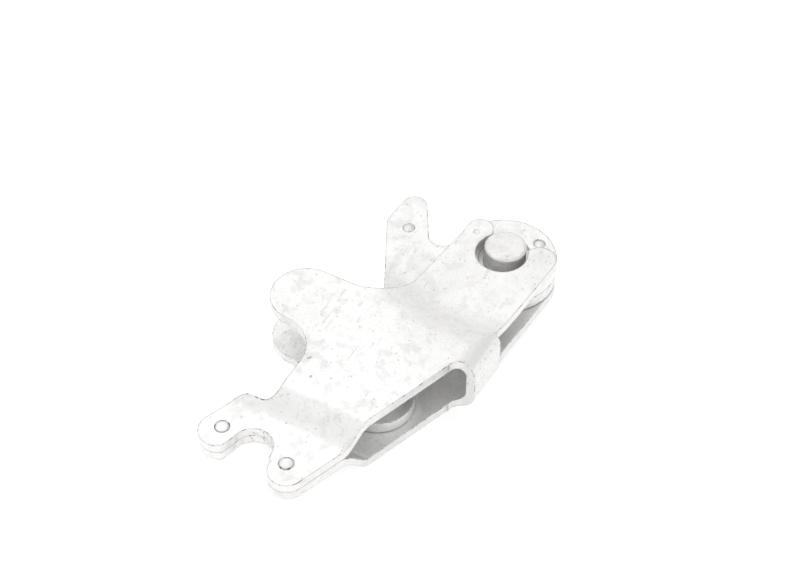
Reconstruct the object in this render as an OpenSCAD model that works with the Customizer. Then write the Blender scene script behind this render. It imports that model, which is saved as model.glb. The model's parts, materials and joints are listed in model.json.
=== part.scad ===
// Self-gripping wire rope clip: a folded plate shell with a fork at one end, and a hooked
// two-plate lever that turns on a pin and presses the rope against the bridge of the shell.
// +X runs from the fork to the pin end, +Y to the hook side, +Z up.
// The origin is at the middle of the bounding box, on the underside.

/* [Plates] */
// Thickness of the folded shell plate
shell_t = 4; // [3:0.1:5]
// Thickness of each lever plate
lever_t = 5.1; // [4:0.1:5.5]
// Narrow slit between the two lever plates where they lie together
plate_slit = 0.2; // [0.1:0.05:0.4]
// Height of the whole clip across the bridge
shell_h = 27; // [25:0.5:34]
// Air between a lever plate and the shell plate over it
side_gap = 0.3; // [0.2:0.05:0.6]
// Air between the two shell plies where they meet at the fork
ply_gap = 0.2; // [0.1:0.05:0.4]

/* [Fork] */
// Distance along the clip from the pin to the fork notch
notch_reach = 132; // [110:1:160]
// Offset of the fork notch from the pin, towards the hook side
pull_offset = 37.8; // [36:0.2:44]
// Diameter of the fork notch
fork_d = 16.3; // [13:0.1:17]
// Radius of the left tine
left_tine_r = 8; // [7:0.1:9]
// Radius of the right tine
right_tine_r = 7.4; // [7:0.1:9]
// Diameter of the shanks of the fork rivets
fork_rivet_d = 4.4; // [3:0.1:5]
// Diameter of the heads of the fork rivets
fork_head_d = 6.2; // [5:0.1:8]

/* [Shell] */
// Half of the width of the arms at the pin end
arm_half = 20.5; // [19:0.1:25]
// Distance from the pin to the near side of the bridge
bridge_x = 43; // [38:0.5:48]
// Length of the bridge along the clip
bridge_len = 21; // [16:0.5:28]
// Distance from the pin to the plane of the bridge's outer face
wall_reach = 20.2; // [18:0.1:24]
// Outer radius of the fold at the bridge
fold_r = 9; // [7:0.1:11]
// Radius of the lobe on each cheek
lobe_r = 14.2; // [12:0.1:16]
// Direction of the lobe from the pin, in degrees from +X
lobe_angle = 139.2; // [136:0.2:143]
// Radius from the pin at which the cheeks start to rise
boss_r = 36; // [30:0.5:38]
// Distance over which they rise
boss_run = 24; // [16:0.5:28]
// Radius of the hollow between the arm and the lobe
arm_fillet = 19.5; // [12:0.5:21]
// Radius of the hollow between the lobe and the fork
neck_fillet = 16.5; // [10:0.5:18]

/* [Pin] */
// Diameter of the pivot pin
pin_d = 17; // [14:0.1:17.4]
// How far the pin stands proud of each arm
pin_proud = 2; // [1:0.1:3.5]
// Radial air between the pin and the lever plates
pin_fit = 0.05; // [0.02:0.01:0.1]
// Radial air between the pin and its seat in the arm
seat_play = 2.1; // [1.9:0.05:2.4]
// Diameter of the collar in the middle of the pin
collar_d = 23; // [20:0.2:26]
// Thickness of the collar
collar_t = 2; // [1.6:0.1:4]

/* [Lever] */
// Radius of the round end of the lever, about the pin
end_r = 21; // [18:0.1:24]
// Distance from the fork notch back to the middle of the lever's tail
tail_to_fork = 50; // [48:0.5:60]
// Offset of the tail from the pin, towards the hook side
tail_y = 12.5; // [8:0.5:14]
// Radius of the round tail
tail_r = 14.3; // [12:0.1:16]
// Radius of the hollow in the edge that faces the bridge
waist_r = 36; // [24:0.5:50]
// Radius of the bottom of the hook notch
hook_r = 6.1; // [5:0.1:7]
// Diameter of the recess round the pin bore, on the outer face of each plate
recess_d = 22; // [18:0.2:24]
// Depth of that recess
recess_depth = 2.4; // [1:0.1:2.8]
// Diameter of the lever rivets
lever_rivet_d = 4.8; // [3:0.1:5.5]
// Diameter of the flush rivets in the tail and waist
flush_rivet_d = 5; // [4:0.1:6]

/* [Grip] */
// Radius of the grip block between the tail plates
grip_r = 9.5; // [8:0.1:11]
// Diameter of the rope that the groove fits
rope_d = 8; // [6:0.1:8.2]
// Depth of the rope groove
groove_depth = 1.6; // [1:0.1:2.4]
// Outer diameter of the spacer sleeve in the waist
sleeve_d = 9; // [8:0.1:11]

/* [Hidden] */
$fn = 96;
slack = 0.01;
far = 300;
bend_steps = 10;
arc_steps = 32;
// Levels above the middle plane
mid = shell_h / 2;
inner_mid = mid - shell_t;
plate_in = plate_slit / 2;
plate_out = plate_in + lever_t;
inner_arm = plate_out + side_gap;
top_arm = inner_arm + shell_t;
tail_out = inner_mid - side_gap;
tail_in = tail_out - lever_t;
// The lever plates rise a little later than the cheeks over them
spread_r = boss_r + 1.5;
spread_dir = 155;
joggle_run = 13;
joggle_x = -notch_reach + fork_d / 2 + 5;
// Main centres, seen from above with the pin at the origin
fork_c = [-notch_reach, pull_offset];
tail_c = [-(notch_reach - tail_to_fork), tail_y];
tail_reach = norm(tail_c);
lobe_c = (tail_reach + 1.4) * [cos(lobe_angle), sin(lobe_angle)];
fold_y = fold_r - wall_reach;
bridge_end = -(bridge_x + bridge_len);
window_r = 5;
window_c = [bridge_end - window_r, fold_y - window_r];
// The arms lie a little off the pin, and widen towards the lobes and the bridge
arm_shift = 0.8;
arm_rise = 3.3;
arm_taper = 4;
arm_top = arm_half - arm_shift;
arm_bottom = -arm_half - arm_shift;
arm_root = arm_top + arm_rise;
arm_foot = arm_bottom + bridge_x * tan(arm_taper);
lobe_right = lobe_c[0] + lobe_r;
lobe_left = lobe_c[0] - lobe_r;
neck_y = pull_offset + 1.5;
neck_corner_r = 6;
left_tine = fork_c + [0.6, 15];
left_root = fork_c + [11.4, 11.6];
left_root_r = left_tine_r - 0.8;
tine_right = left_root[0] + left_root_r;
left_rivet = fork_c + [2.3, 14.6];
right_tine = fork_c + [-3.3, -17.2];
right_root = fork_c + [18, -25];
right_rivet = fork_c + [-0.9, -15.5];
// The pin's seat lies off the pin, because the pin rests at the mouth of the notch
seat_r = pin_d / 2 + seat_play;
seat_c = [-2.6, 0.4];
upper_horn_r = (arm_top - (seat_c[1] + 0.79 * seat_r)) / 2;
lower_horn_r = (seat_c[1] - 0.81 * seat_r - arm_bottom) / 2;
upper_horn = [seat_c[0] + 0.75 * seat_r, arm_top - upper_horn_r];
lower_horn = [seat_c[0] + 0.41 * seat_r, arm_bottom + lower_horn_r];
punch_mark = upper_horn + [-2.3, 0.5];
// Hook of the lever
hook_c = [-1.6, end_r + 6.5];
hook_tip = hook_c + [9.4, 18.6];
hook_tip_r = 5.2;
hook_root = hook_c + [-1.7, 15.8];
hook_root_r = 8.6;
hook_back = hook_c + [-42.4, 3.9];
hook_rivet_c = hook_c + [-3.3, 14.3];
heel_dir = -34;
heel_rivet_c = (end_r - 5) * [cos(heel_dir), sin(heel_dir)];
// The hollow of the waist touches the round end and the tail, and is wide enough to reach both
waist_span = (tail_reach - end_r - tail_r) / 2;
hollow_r = max(waist_r, waist_span + 6);
waist_a = end_r + hollow_r;
waist_b = tail_r + hollow_r;
waist_turn = acos((waist_a * waist_a + tail_reach * tail_reach - waist_b * waist_b) / (2 * waist_a * tail_reach));
waist_dir = atan2(tail_c[1], tail_c[0]) + waist_turn;
waist_c = waist_a * [cos(waist_dir), sin(waist_dir)];
// The sleeve sits past the spread, where the plates are parallel, clear of the grip block
sleeve_turn = 9;
sleeve_dir = atan2(tail_c[1], tail_c[0]) - sleeve_turn;
sleeve_c = (spread_r + boss_run + sleeve_d / 2 + 0.8) * [cos(sleeve_dir), sin(sleeve_dir)];
grip_pitch = 4.2;
countersink = 1.4;
collar_room = 0.3;
collar_air = 0.1;
// From the pin to the middle of the box
x_mid = (end_r + right_tine[0] - right_tine_r) / 2;
y_mid = (lobe_c[1] + lobe_r - max(-arm_bottom, end_r, wall_reach)) / 2;

zinc = "gainsboro";
dark_zinc = "silver";

// Smooth step from 0 to 1
function ease(u) = (1 - cos(180 * u)) / 2;

// Moves a piece from the pin's middle to the frame of the whole clip
module place() {
    translate([-x_mid, -y_mid, mid]) children();
}

// The outline that two circles share with their outer tangents, with its arcs in short steps
module link(a, ra, b, rb) {
    gap = b - a;
    dir = atan2(gap[1], gap[0]);
    lean = acos((ra - rb) / norm(gap));
    function arc(c, r, from, to) = [for (i = [0:arc_steps])
        c + r * [cos(from + (to - from) * i / arc_steps), sin(from + (to - from) * i / arc_steps)]];
    polygon(concat(arc(a, ra, dir + lean, dir + 360 - lean), arc(b, rb, dir - lean, dir + lean)));
}

// A hollow corner: a square patch less the circle in it
module hollow_corner(centre, r, sx, sy) {
    difference() {
        translate(centre + [sx > 0 ? 0 : -r - slack, sy > 0 ? 0 : -r - slack]) square(r + slack);
        translate(centre) circle(r = r);
    }
}

// What lies under a dish that rises from low to high with the distance from the pin
module under_dish(low, high, r, run) {
    rise = [for (i = [0:bend_steps]) [r + run * i / bend_steps, low + (high - low) * ease(i / bend_steps)]];
    rotate_extrude($fn = 180) polygon(concat([[0, -1], [0, low]], rise, [[far, high], [far, -1]]));
}

// What lies under a ramp that rises from low to high along x
module under_ramp(low, high, x, run) {
    rise = [for (i = [0:bend_steps]) [x + run * i / bend_steps, low + (high - low) * ease(i / bend_steps)]];
    side = sign(run) * far;
    translate([0, far, 0]) rotate([90, 0, 0]) linear_extrude(2 * far)
        polygon(concat([[-side, -1], [-side, low]], rise, [[side, high], [side, -1]]));
}

// Plan outline of one cheek of the shell
module cheek_outline() {
    difference() {
        union() {
            polygon([[0, arm_bottom], [-bridge_x, arm_foot], [-bridge_x, fold_y], [bridge_end, fold_y],
                     window_c + window_r * [0.32, 0.947], right_root + [-2.5, -7.1], right_tine, left_tine,
                     left_root, [tine_right, left_root[1]], [tine_right, neck_y],
                     [lobe_left - neck_fillet, neck_y], [lobe_left, neck_y], lobe_c, [lobe_right, lobe_c[1]],
                     [lobe_right, arm_root], [lobe_right + arm_fillet, arm_root], [0, arm_top]]);
            link(left_tine, left_tine_r, left_root, left_root_r);
            link(right_tine, right_tine_r, right_root, right_tine_r);
            translate(lobe_c) circle(r = lobe_r);
            translate([lobe_left, neck_y - slack]) square([2 * lobe_r, lobe_c[1] - neck_y + slack]);
            hollow_corner([lobe_right + arm_fillet, arm_root + arm_fillet], arm_fillet, -1, -1);
            hollow_corner([lobe_left - neck_fillet, neck_y + neck_fillet], neck_fillet, 1, -1);
            hollow_corner([tine_right + neck_corner_r, neck_y + neck_corner_r], neck_corner_r, -1, -1);
            translate([0, upper_horn[1] - upper_horn_r]) square([upper_horn[0], 2 * upper_horn_r]);
            translate(upper_horn) circle(r = upper_horn_r);
            translate([0, arm_bottom]) square([lower_horn[0], 2 * lower_horn_r]);
            translate(lower_horn) circle(r = lower_horn_r);
        }
        translate(fork_c) circle(d = fork_d);
        polygon([fork_c + [0, fork_d / 2], fork_c + [0, -fork_d / 2], fork_c + [-12, -fork_d / 2 - 3],
                 fork_c + [-12, fork_d / 2 + 4]]);
        translate(seat_c) circle(r = seat_r);
    }
}

// Plan of the bridge, with the rounded corner where it meets the window
module bridge_plan() {
    translate([bridge_end, fold_y - fold_r]) square([bridge_len, fold_r + slack]);
    hollow_corner(window_c, window_r, 1, 1);
}

// Half of the section of the bridge, or of the hollow in it, run out along the bridge
module bridge_bar(half, r, extra) {
    translate([bridge_end - extra, 0, 0]) rotate([90, 0, 90]) linear_extrude(bridge_len + 2 * extra) {
        translate([fold_y - r, -1]) square([r + slack, half - r + 1]);
        intersection() {
            translate([fold_y, half - r]) circle(r = r);
            translate([fold_y - r, half - r - slack]) square([r + slack, r + slack]);
        }
    }
}

// Half of the whole shell, above the middle plane: pressed down round the pin and at the fork
module cheek() {
    difference() {
        intersection() {
            union() {
                linear_extrude(mid) cheek_outline();
                intersection() {
                    linear_extrude(mid) bridge_plan();
                    bridge_bar(mid, fold_r, window_r);
                }
            }
            under_dish(top_arm, mid, boss_r, boss_run);
            under_ramp(shell_t + ply_gap / 2, mid, joggle_x, joggle_run);
        }
        intersection() {
            union() {
                translate([0, 0, -1]) linear_extrude(shell_h) difference() {
                    square(far, center = true);
                    translate([bridge_end - window_r, fold_y - fold_r]) square([bridge_len + window_r, fold_r]);
                }
                bridge_bar(inner_mid, fold_r - shell_t, window_r + 1);
            }
            under_dish(inner_arm, inner_mid, boss_r, boss_run);
            under_ramp(ply_gap / 2, inner_mid, joggle_x, joggle_run);
        }
        translate([left_rivet[0], left_rivet[1], -1]) cylinder(d = fork_rivet_d, h = mid);
        translate([right_rivet[0], right_rivet[1], -1]) cylinder(d = fork_rivet_d, h = mid);
    }
}

// One plate, folded into a U at the bridge: both cheeks, lobes, arms and the fork
module folded_shell() {
    color(zinc) place() difference() {
        union() {
            cheek();
            mirror([0, 0, 1]) cheek();
        }
        translate([punch_mark[0], punch_mark[1], top_arm + 0.9]) sphere(r = 1.6);
    }
}

// A rivet through two plates, with a low round head on each side
module round_rivet(centre, shank_d, head_d, grip_half) {
    head_h = head_d / 9;
    ball = (head_d * head_d / 4 + head_h * head_h) / (2 * head_h);
    translate([centre[0], centre[1], -grip_half]) cylinder(d = shank_d, h = 2 * grip_half);
    for (side = [0, 1]) mirror([0, 0, side]) intersection() {
        translate([centre[0], centre[1], grip_half + head_h - ball]) sphere(r = ball);
        translate([centre[0], centre[1], grip_half]) cylinder(d = head_d, h = head_h + 1);
    }
}

module fork_rivets() {
    color(zinc) place() {
        round_rivet(left_rivet, fork_rivet_d, fork_head_d, shell_t + ply_gap / 2);
        round_rivet(right_rivet, fork_rivet_d, fork_head_d, shell_t + ply_gap / 2);
    }
}

// The pivot pin, with a collar that is trapped between the lever plates
module pivot_pin() {
    half = top_arm + pin_proud;
    edge = 0.7;
    color(zinc) place() {
        translate([0, 0, -half + edge]) cylinder(d = pin_d, h = 2 * (half - edge));
        for (side = [0, 1]) mirror([0, 0, side]) translate([0, 0, half - edge])
            cylinder(d1 = pin_d, d2 = pin_d - 2 * edge, h = edge);
        translate([0, 0, -collar_t / 2]) cylinder(d = collar_d, h = collar_t);
    }
}

// Plan outline of a lever plate, without its bores
module lever_outline() {
    difference() {
        union() {
            polygon([[0, 0], [hook_c[0], end_r / 2], hook_root, hook_root + hook_root_r * [-0.46, 0.888],
                     hook_back, tail_c + [2, tail_r], tail_c]);
            polygon([hook_root, hook_c + hook_r * [-0.5, 0.87], hook_root + hook_root_r * [0.5, -0.87]]);
            link(hook_root, hook_root_r, hook_tip, hook_tip_r);
        }
        translate(hook_c) circle(r = hook_r);
        translate([hook_c[0], 0]) square([end_r, hook_c[1]]);
    }
    circle(r = end_r);
    translate(tail_c) circle(r = tail_r);
    difference() {
        polygon([[0, 0], tail_c, waist_c]);
        translate(waist_c) circle(r = hollow_r);
    }
}

// A bore for a flush rivet, widened where its head is spread
module flush_bore(centre) {
    translate([centre[0], centre[1], -1]) cylinder(d = flush_rivet_d, h = mid);
    translate([centre[0], centre[1], tail_out - countersink])
        cylinder(d1 = flush_rivet_d, d2 = flush_rivet_d + 2 * countersink, h = countersink + slack);
}

grip_rivet_places = [for (side = [-1, 1]) tail_c + side * grip_pitch * [cos(45), sin(45)]];

// One lever plate, above the middle plane: flat round the pin, and spread towards the tail
module lever_plate() {
    difference() {
        intersection() {
            linear_extrude(mid) lever_outline();
            rotate([0, 0, spread_dir]) under_ramp(plate_out, tail_out, spread_r, boss_run);
        }
        rotate([0, 0, spread_dir]) under_ramp(plate_in, tail_in, spread_r, boss_run);
        translate([0, 0, -1]) cylinder(d = pin_d + 2 * pin_fit, h = mid);
        translate([0, 0, -1]) cylinder(d = collar_d + 2 * collar_room, h = 1 + collar_t / 2 + collar_air);
        translate([0, 0, plate_out - recess_depth]) cylinder(d = recess_d, h = mid);
        for (centre = [hook_rivet_c, heel_rivet_c])
            translate([centre[0], centre[1], -1]) cylinder(d = lever_rivet_d, h = mid);
        for (centre = grip_rivet_places) flush_bore(centre);
        flush_bore(sleeve_c);
    }
}

module lever_plate_upper() {
    color(zinc) place() lever_plate();
}

module lever_plate_lower() {
    color(zinc) place() mirror([0, 0, 1]) lever_plate();
}

// The hook rivet keeps a low round head, because nothing passes over it
module hook_rivet() {
    color(dark_zinc) place() round_rivet(hook_rivet_c, lever_rivet_d, lever_rivet_d, plate_out);
}

module heel_rivet() {
    color(dark_zinc) place() round_rivet(heel_rivet_c, lever_rivet_d, lever_rivet_d, plate_out - 0.4);
}

// The block between the tail plates that bears on the rope, grooved round its rim
module grip_block() {
    groove_c = grip_r + rope_d / 2 - groove_depth;
    color(dark_zinc) place() difference() {
        translate([tail_c[0], tail_c[1], -tail_in]) cylinder(r = grip_r, h = 2 * tail_in);
        translate([tail_c[0], tail_c[1], 0]) rotate_extrude() translate([groove_c, 0]) circle(d = rope_d);
        for (centre = grip_rivet_places)
            translate([centre[0], centre[1], -mid]) cylinder(d = flush_rivet_d, h = shell_h);
    }
}

// A rivet whose heads fill the countersinks of the two plates
module flush_rivet(centre) {
    translate([centre[0], centre[1], -tail_out]) cylinder(d = flush_rivet_d, h = 2 * tail_out);
    for (side = [0, 1]) mirror([0, 0, side]) translate([centre[0], centre[1], tail_out - countersink])
        cylinder(d1 = flush_rivet_d, d2 = flush_rivet_d + 2 * countersink, h = countersink);
}

module grip_rivets() {
    color(dark_zinc) place() for (centre = grip_rivet_places) flush_rivet(centre);
}

// A tube that keeps the plates apart in the waist
module spacer_sleeve() {
    color(dark_zinc) place() translate([sleeve_c[0], sleeve_c[1], -tail_in]) difference() {
        cylinder(d = sleeve_d, h = 2 * tail_in);
        translate([0, 0, -1]) cylinder(d = flush_rivet_d, h = 2 * tail_in + 2);
    }
}

module spacer_rivet() {
    color(dark_zinc) place() flush_rivet(sleeve_c);
}

folded_shell();
fork_rivets();
pivot_pin();
lever_plate_upper();
lever_plate_lower();
hook_rivet();
heel_rivet();
grip_block();
grip_rivets();
spacer_sleeve();
spacer_rivet();
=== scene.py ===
import bpy
import bmesh
import json
import math
import random
from mathutils import Matrix, Vector


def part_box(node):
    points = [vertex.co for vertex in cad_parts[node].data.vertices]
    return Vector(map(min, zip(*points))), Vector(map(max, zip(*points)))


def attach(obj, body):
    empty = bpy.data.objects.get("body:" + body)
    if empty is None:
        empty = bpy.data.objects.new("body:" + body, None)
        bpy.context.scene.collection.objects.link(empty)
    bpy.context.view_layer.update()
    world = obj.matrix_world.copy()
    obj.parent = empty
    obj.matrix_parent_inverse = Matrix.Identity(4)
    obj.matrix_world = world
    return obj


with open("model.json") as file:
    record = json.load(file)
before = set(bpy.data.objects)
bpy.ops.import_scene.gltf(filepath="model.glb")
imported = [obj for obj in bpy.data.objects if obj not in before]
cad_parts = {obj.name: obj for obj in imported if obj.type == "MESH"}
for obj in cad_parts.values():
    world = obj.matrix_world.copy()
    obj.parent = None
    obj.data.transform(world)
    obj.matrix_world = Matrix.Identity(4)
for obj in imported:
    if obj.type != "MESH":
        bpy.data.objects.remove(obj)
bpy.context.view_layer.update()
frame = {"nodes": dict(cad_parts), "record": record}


# ---- Folded shell ----------------------------------------------------------------------------
# One sheared 4 mm steel plate, folded into a U at the bridge and pressed down round the pin and
# at the fork. It is dipped in molten zinc after forming, which rounds its edges, leaves pale
# clouds and small pits, and shows dark nicks where its edges were struck in the barrel.

MM = 0.001


class Link:
    """An output of a node, on which sums are written as plain arithmetic."""

    def __init__(self, owner, socket):
        self.owner = owner
        self.socket = socket

    def maths(self, operation, first, second=0.0):
        return self.owner.node("ShaderNodeMath", {"operation": operation}, {0: first, 1: second})

    def __add__(self, other):
        return self.maths("ADD", self, other)

    def __radd__(self, other):
        return self.maths("ADD", other, self)

    def __sub__(self, other):
        return self.maths("SUBTRACT", self, other)

    def __rsub__(self, other):
        return self.maths("SUBTRACT", other, self)

    def __mul__(self, other):
        return self.maths("MULTIPLY", self, other)

    def __rmul__(self, other):
        return self.maths("MULTIPLY", other, self)

    def __gt__(self, other):
        return self.maths("GREATER_THAN", self, other)

    def __abs__(self):
        return self.maths("ABSOLUTE", self)


class Nodes:
    """A node tree under construction: every node of it comes from node()."""

    def __init__(self, tree):
        self.tree = tree
        self.tree.nodes.clear()

    def node(self, kind, settings, inputs, output=0):
        made = self.tree.nodes.new(kind)
        for name, setting in settings.items():
            setattr(made, name, setting)
        for name, value in inputs.items():
            if isinstance(value, Link):
                self.tree.links.new(value.socket, made.inputs[name])
            else:
                made.inputs[name].default_value = value
        return Link(self, made.outputs[output]) if made.outputs else None

    def blend(self, amount, first, second):
        """The first colour, turning to the second as amount goes from 0 to 1."""
        colours = {0: amount, 6: first, 7: second}
        return self.node("ShaderNodeMix", {"data_type": "RGBA"}, colours, 2)

    def fade(self, value, low, high):
        """0 up to low, 1 from high, and a smooth step between them."""
        levels = {"Value": value, "From Min": low, "From Max": high}
        return self.node("ShaderNodeMapRange", {"interpolation_type": "SMOOTHSTEP"}, levels)

    def part(self, vector, axis):
        return self.node("ShaderNodeSeparateXYZ", {}, {0: vector}, axis)


class Zinc(Nodes):
    """A zinc coat: the marks that a galvanised steel surface carries, each as a mask, and a mask of the
    sheltered faces that get painted light.
    """

    def __init__(self, name):
        self.material = bpy.data.materials.new(name)
        self.material.use_nodes = True
        super().__init__(self.material.node_tree)
        self.place = self.node("ShaderNodeTexCoord", {}, {}, "Object")

    def shifted(self, seed, angle=0.0, stretch=(1, 1, 1)):
        """Object coordinates, moved by a seed, turned about Z and stretched."""
        moved = {"Vector": self.place, "Location": (seed, seed * 0.7, seed * 1.3),
                 "Rotation": (0, 0, angle), "Scale": stretch}
        return self.node("ShaderNodeMapping", {}, moved)

    def clouds(self, size, detail, seed):
        """Noise with blobs of about that size in metres."""
        noise = {"Vector": self.shifted(seed), "Scale": 1 / size, "Detail": detail, "Roughness": 0.6}
        return self.node("ShaderNodeTexNoise", {}, noise)

    def spots(self, size, spread, chance, seed):
        """Ragged spots, one in some cells of that size: 1 in the middle of a spot."""
        noise = {"Vector": self.place, "Scale": 5 / size, "Detail": 2.0}
        ragged = self.node("ShaderNodeTexNoise", {}, noise, "Color")
        warp = {0: ragged, 1: (0.35 * size,) * 3, 2: self.shifted(seed)}
        spot = self.node("ShaderNodeVectorMath", {"operation": "MULTIPLY_ADD"}, warp)
        cell = {"Vector": spot, "Scale": 1 / size}
        near = self.node("ShaderNodeTexVoronoi", {}, cell, "Distance")
        tint = self.node("ShaderNodeTexVoronoi", {}, cell, "Color")
        lot = self.node("ShaderNodeSeparateColor", {}, {0: tint})
        return (1 - self.fade(near, spread * 0.4, spread)) * (lot > 1 - chance)

    def scratches(self, spacing, angle, width, seed):
        """Thin lines at an angle to X, that fade in and out along their length."""
        across = self.shifted(seed, angle, (0.06, 1, 1))
        run = self.node("ShaderNodeTexNoise", {}, {"Vector": across, "Scale": 1 / spacing, "Detail": 1.0})
        return 1 - self.fade(abs(run - 0.5), 0.0, width)

    def rounded(self, radius):
        """The normal of the surface, as if its edges were rounded to that radius."""
        return self.node("ShaderNodeBevel", {"samples": 8}, {"Radius": radius})

    def rim(self, rounded):
        """1 on sharp edges and 0 on faces, from how far the rounded normal leans there."""
        face = self.node("ShaderNodeNewGeometry", {}, {}, "Normal")
        normals = {0: rounded, 1: face}
        facing = self.node("ShaderNodeVectorMath", {"operation": "DOT_PRODUCT"}, normals, "Value")
        return self.fade(1 - facing, 0.015, 0.18)

    def inside(self, shelter):
        """1 on faces within half the shelter's height of its middle, between its two ends in X."""
        if shelter is None:
            return 0.0
        start, end, middle, half = shelter
        level = abs(self.part(self.place, "Z") - middle)
        along = abs(self.part(self.place, "X") - (start + end) / 2)
        half_run = (end - start) / 2
        outside_level = self.fade(level, half - 0.2 * MM, half)
        outside_run = self.fade(along, half_run - MM, half_run)
        return (1 - outside_level) * (1 - outside_run)

    def surface(self, colour, roughness, metallic, rounded, height, depth):
        """The metal itself, with height pressed into its rounded normal over depth metres."""
        relief = {"Height": height, "Distance": depth, "Normal": rounded}
        normal = self.node("ShaderNodeBump", {}, relief)
        coat = {"Base Color": colour, "Roughness": roughness, "Metallic": metallic, "Normal": normal}
        metal = self.node("ShaderNodeBsdfPrincipled", {}, coat)
        self.node("ShaderNodeOutputMaterial", {}, {"Surface": metal})
        return self.material


def galvanised(name, pale, grey, pitting, hammered, seed, shelter=None):
    """Hot dip zinc: clouds of two greys, faint warm and green stains, pits, scratches and nicks.
    Faces in the shelter between the cheeks are painted paler and made less metallic, painted light
    standing in for light that does not reach them, and they carry real dark mottle."""
    zinc = Zinc(name)
    broad = zinc.fade(zinc.clouds(34 * MM, 5.0, seed), 0.34, 0.72)
    patch = zinc.fade(zinc.clouds(5 * MM, 5.0, seed + 1), 0.50, 0.62)
    fleck = zinc.fade(zinc.clouds(1.3 * MM, 3.0, seed + 14), 0.56, 0.68)
    warm = zinc.fade(zinc.clouds(12 * MM, 4.0, seed + 2), 0.54, 0.70)
    green = zinc.fade(zinc.clouds(15 * MM, 4.0, seed + 3), 0.57, 0.72)
    grain = zinc.clouds(0.6 * MM, 4.0, seed + 4)
    lumps = zinc.clouds(3.2 * MM, 3.0, seed + 5)
    pits = zinc.spots(2.6 * MM, 0.17, pitting, seed + 6)
    dents = zinc.spots(11 * MM, 0.055, pitting, seed + 7)
    bright = zinc.spots(2.2 * MM, 0.13, 0.25, seed + 8)
    broken = zinc.fade(zinc.clouds(6 * MM, 2.0, seed + 9), 0.52, 0.62)
    scratches = (zinc.scratches(5 * MM, 0.5, 0.008, seed + 10)
                 + zinc.scratches(7 * MM, -0.9, 0.006, seed + 11)) * broken
    rounded = zinc.rounded(0.9 * MM)
    rim = zinc.rim(rounded)
    chips = rim * zinc.fade(zinc.clouds(2.2 * MM, 4.0, seed + 12), 0.53, 0.60)
    # Mask of the faces between the cheeks: they get painted light and real dark mottle.
    inside_light_and_mottle = zinc.inside(shelter)

    colour = zinc.blend(broad * 0.7, (*pale, 1), (*grey, 1))
    marks = (
        (patch * 0.22, [0.88 * part for part in grey]),
        # Painted light: sheltered faces are lifted to a pale grey, standing in for light that does not
        # reach between the cheeks.
        (inside_light_and_mottle * 0.35, (0.90, 0.90, 0.89)),
        (fleck * 0.32, [0.76 * part for part in grey]),
        (warm * 0.40, (0.84, 0.79, 0.765)),
        (green * 0.35, (0.70, 0.75, 0.705)),
        (bright * 0.7, (0.95, 0.95, 0.94)),
        (inside_light_and_mottle * fleck * 0.5, (0.45, 0.45, 0.44)),
        (scratches * 0.32, (0.50, 0.50, 0.49)),
        (pits * 0.45, (0.40, 0.40, 0.385)),
        (dents * 0.6, (0.30, 0.30, 0.29)),
        (rim * 0.25, (0.54, 0.54, 0.52)),
        (chips * 0.9, (0.13, 0.13, 0.12)),
    )
    for amount, tint in marks:
        colour = zinc.blend(amount, colour, (*tint, 1))
    roughness = 0.38 + broad * 0.10 + patch * 0.12 + grain * 0.10 - bright * 0.16 + chips * 0.2
    # Sheltered faces are made less metallic so that they catch more light, part of the painted light
    # between the cheeks.
    metallic = 0.90 - patch * 0.15 - warm * 0.10 - chips * 0.2 - inside_light_and_mottle * 0.6
    height = lumps * (0.55 + hammered) + grain * 0.22 - pits * 0.4 - dents * 0.8
    height = height - scratches * 0.2 - chips * 0.4
    return zinc.surface(colour, roughness, metallic, rounded, height, 0.28 * MM)


def even_skin():
    """A modifier that joins the CAD faces into one skin, smooth but for edges over 30 degrees."""
    tree = bpy.data.node_groups.new("even skin", "GeometryNodeTree")
    for direction in ("INPUT", "OUTPUT"):
        tree.interface.new_socket("Geometry", in_out=direction, socket_type="NodeSocketGeometry")
    skin = Nodes(tree)
    cad = skin.node("NodeGroupInput", {}, {})
    plain = skin.node("GeometryNodeRemoveAttribute", {}, {0: cad, "Name": "custom_normal"})
    joined = skin.node("GeometryNodeMergeByDistance", {}, {0: plain, "Distance": 0.002 * MM})
    smooth = skin.node("GeometryNodeSetShadeSmooth", {}, {0: joined, "Shade Smooth": True})
    turn = skin.node("GeometryNodeInputMeshEdgeAngle", {}, {}, "Unsigned Angle")
    limit = {"A": turn, "B": math.radians(30)}
    sharp = skin.node("FunctionNodeCompare", {"operation": "GREATER_THAN"}, limit)
    edges = {0: smooth, "Selection": sharp, "Shade Smooth": False}
    creased = skin.node("GeometryNodeSetShadeSmooth", {"domain": "EDGE"}, edges)
    skin.node("NodeGroupOutput", {}, {0: creased})
    return tree


skin_steps = even_skin()


def finish_node(node, material):
    """Gives a piece its material and an even skin."""
    piece = frame["nodes"][node]
    piece.data.materials.clear()
    piece.data.materials.append(material)
    piece.modifiers.new("even skin", "NODES").node_group = skin_steps


# The space between the cheeks runs from the step at the fork to the far side of the bridge.
shell_low, shell_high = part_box("folded_shell")
between_cheeks = (-47 * MM, 19 * MM, (shell_low.z + shell_high.z) / 2, 9.6 * MM)
# Inside that space the shell's zinc is painted lighter, standing in for light that does not reach it.
shell_finish = galvanised("shell zinc", (0.84, 0.835, 0.83), (0.77, 0.77, 0.76), 0.5, 0.0, 1.0,
                          between_cheeks)
finish_node("folded_shell", shell_finish)

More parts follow.
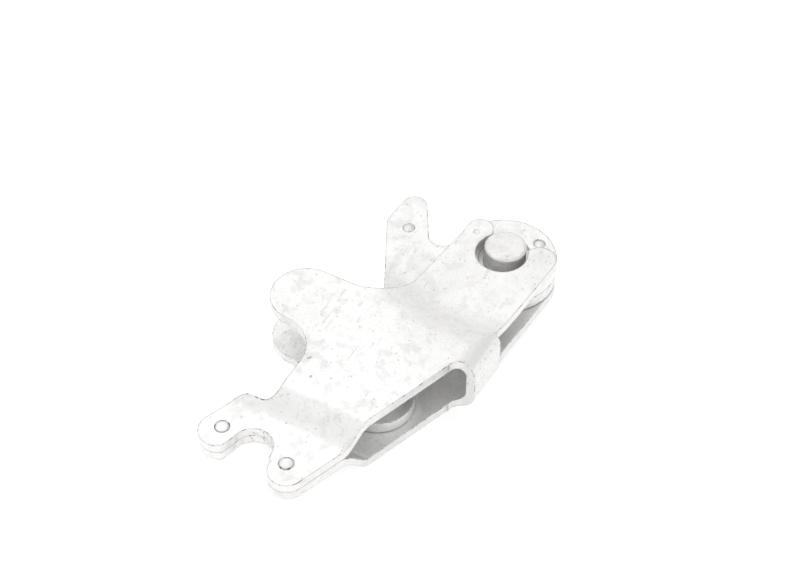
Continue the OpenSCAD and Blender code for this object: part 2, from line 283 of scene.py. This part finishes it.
# Small drips of zinc froze along the mouth of the fork notch and on the corners of the tines.
notch = next(mount for mount in frame["record"]["mounts"] if mount["name"] == "fork_notch")
notch_middle = Vector(notch["pos_m"])
notch_radius = notch["dims"]["r_mm"] * MM
drip_count = 26
chance = random.Random(7)
drip_form = bmesh.new()
for drip in range(drip_count):
    around = math.radians(chance.uniform(-95, 95))
    level = chance.choice((-1, 1)) * chance.uniform(0.3, 3.6) * MM
    on_rim = notch_middle + Vector((math.cos(around), math.sin(around), 0)) * notch_radius
    width = chance.uniform(0.25, 0.7) * MM
    place = Matrix.Translation(on_rim + Vector((0, 0, level))) @ Matrix.Rotation(around, 4, "Z")
    shape = place @ Matrix.Diagonal((0.6 * width, width, 1.5 * width, 1))
    bmesh.ops.create_icosphere(drip_form, subdivisions=3, radius=1.0, matrix=shape)
drip_mesh = bpy.data.meshes.new("zinc_drips")
drip_form.to_mesh(drip_mesh)
drip_form.free()
drip_mesh.shade_smooth()
drip_mesh.materials.append(shell_finish)
drips = bpy.data.objects.new("zinc_drips", drip_mesh)
bpy.context.scene.collection.objects.link(drips)
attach(drips, "shell")


# ---- Fork rivets -----------------------------------------------------------------------------
# Two soft steel rivets close the plies at the fork. Their low round heads are struck by hand and
# dipped with the shell, so they are smoother and a little brighter than the plate round them.

rivet_finish = galvanised("rivet zinc", (0.85, 0.85, 0.84), (0.77, 0.77, 0.76), 0.4, 0.4, 5.0)
finish_node("fork_rivets", rivet_finish)


# ---- Pivot pin -------------------------------------------------------------------------------
# A thick round steel pin with sawn ends and a turned side, on which the lever turns. Its collar
# sits between the lever plates, and it floats in the open notch of each arm.

pin_finish = galvanised("pin zinc", (0.79, 0.78, 0.77), (0.71, 0.70, 0.685), 0.4, 0.5, 9.0)
finish_node("pivot_pin", pin_finish)


# ---- Lever plates ----------------------------------------------------------------------------
# Two mirrored plates, cut with a hook, a round end about the pin and a round tail. They lie
# together at the pin and hook, and spread towards the tail to hold the grip block.

lever_finish = galvanised("lever zinc", (0.84, 0.845, 0.83), (0.76, 0.77, 0.75), 0.45, 0.1, 13.0)
for plate in ("lever_plate_upper", "lever_plate_lower"):
    finish_node(plate, lever_finish)


# ---- Lever rivets ----------------------------------------------------------------------------
# The hook rivet and the heel rivet hold the lever plates together. Their heads are hammered flat
# and rough, so their finish has deeper dents than the plates have.

hammered_finish = galvanised("hammered zinc", (0.74, 0.74, 0.725), (0.60, 0.60, 0.58), 0.7, 1.6, 17.0)
for rivet in ("hook_rivet", "heel_rivet"):
    finish_node(rivet, hammered_finish)


# ---- Grip block, spacer sleeve and their rivets ----------------------------------------------
# Plain steel pieces between the tail plates, out of the light. The block bears on the rope with
# Their zinc is set to darker greys than the plates' zinc.

inner_finish = galvanised("inner steel", (0.60, 0.60, 0.585), (0.48, 0.48, 0.465), 0.5, 0.3, 21.0)
for piece in ("grip_block", "grip_rivets", "spacer_sleeve", "spacer_rivet"):
    finish_node(piece, inner_finish)


# ---- Floor and light -------------------------------------------------------------------------
# A plain white floor, lit so strongly from above that it has no edge and only faint shadows.
# The sky is pale overhead and darker near the floor, so that upright edges read grey.

WHITE = (1, 1, 1, 1)
floor_half = 3.0
corners = [(x * floor_half, y * floor_half, 0) for x, y in ((-1, -1), (1, -1), (1, 1), (-1, 1))]
floor_mesh = bpy.data.meshes.new("floor")
floor_mesh.from_pydata(corners, [], [(0, 1, 2, 3)])
floor = bpy.data.objects.new("floor", floor_mesh)
bpy.context.scene.collection.objects.link(floor)
paper_finish = bpy.data.materials.new("white paper")
paper_finish.use_nodes = True
paper = Nodes(paper_finish.node_tree)
matt_white = {"Base Color": (0.93, 0.93, 0.93, 1), "Roughness": 1.0, "Specular IOR Level": 0.0,
              "Emission Color": WHITE, "Emission Strength": 0.30}
sheet = paper.node("ShaderNodeBsdfPrincipled", {}, matt_white)
paper.node("ShaderNodeOutputMaterial", {}, {"Surface": sheet})
floor_mesh.materials.append(paper_finish)

studio = bpy.data.worlds.new("studio sky")
studio.use_nodes = True
bpy.context.scene.world = studio
bpy.context.scene.view_settings.view_transform = "Standard"
low_sky = 0.63
high_sky = 0.96
sky = Nodes(studio.node_tree)
up = sky.part(sky.node("ShaderNodeTexCoord", {}, {}, "Generated"), "Z")
strength = low_sky + sky.fade(up, -0.1, 0.75) * (high_sky - low_sky)
air = sky.node("ShaderNodeBackground", {}, {"Color": WHITE, "Strength": strength})
sky.node("ShaderNodeOutputWorld", {}, {"Surface": air})

# Each softbox stands at its place in metres, with its width in metres and its power in watts.
clip_middle = Vector((0, 0, 0.01))
for name, place, width, power in (("overhead softbox", (0.15, 0.35, 0.9), 0.9, 1.6),
                                  ("far side softbox", (0.7, 0.5, 0.5), 0.6, 0.35),
                                  ("window side softbox", (-0.3, -0.8, 0.3), 0.5, 0.35),
                                  ("fork side softbox", (-0.75, 0.3, 0.5), 0.6, 0.45)):
    lamp = bpy.data.objects.new(name, bpy.data.lights.new(name, "AREA"))
    lamp.data.energy = power
    lamp.data.size = width
    lamp.location = place
    lamp.rotation_euler = (clip_middle - lamp.location).to_track_quat("-Z", "Y").to_euler()
    bpy.context.scene.collection.objects.link(lamp)


# ---- Camera ----------------------------------------------------------------------------------
# It looks down on the clip from the fork side with a long lens, aimed beside the pin.

view_turn = math.radians(-60.6)
view_rise = math.radians(47.0)
reach = 0.824
aim_from_pin = Vector((-19.64, 39.79, 0)) * MM
pin_low, pin_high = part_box("pivot_pin")
pin_middle = (pin_low + pin_high) / 2
aim = Vector((pin_middle.x, pin_middle.y, 0)) + aim_from_pin
back = Vector((math.sin(view_turn) * math.cos(view_rise),
               -math.cos(view_turn) * math.cos(view_rise), math.sin(view_rise)))
camera = bpy.data.objects.new("camera", bpy.data.cameras.new("camera"))
bpy.context.scene.collection.objects.link(camera)
camera.location = aim + back * reach
camera.rotation_euler = (-back).to_track_quat("-Z", "Y").to_euler()
camera.data.sensor_width = 36.0
camera.data.lens = 91.024
bpy.context.scene.camera = camera
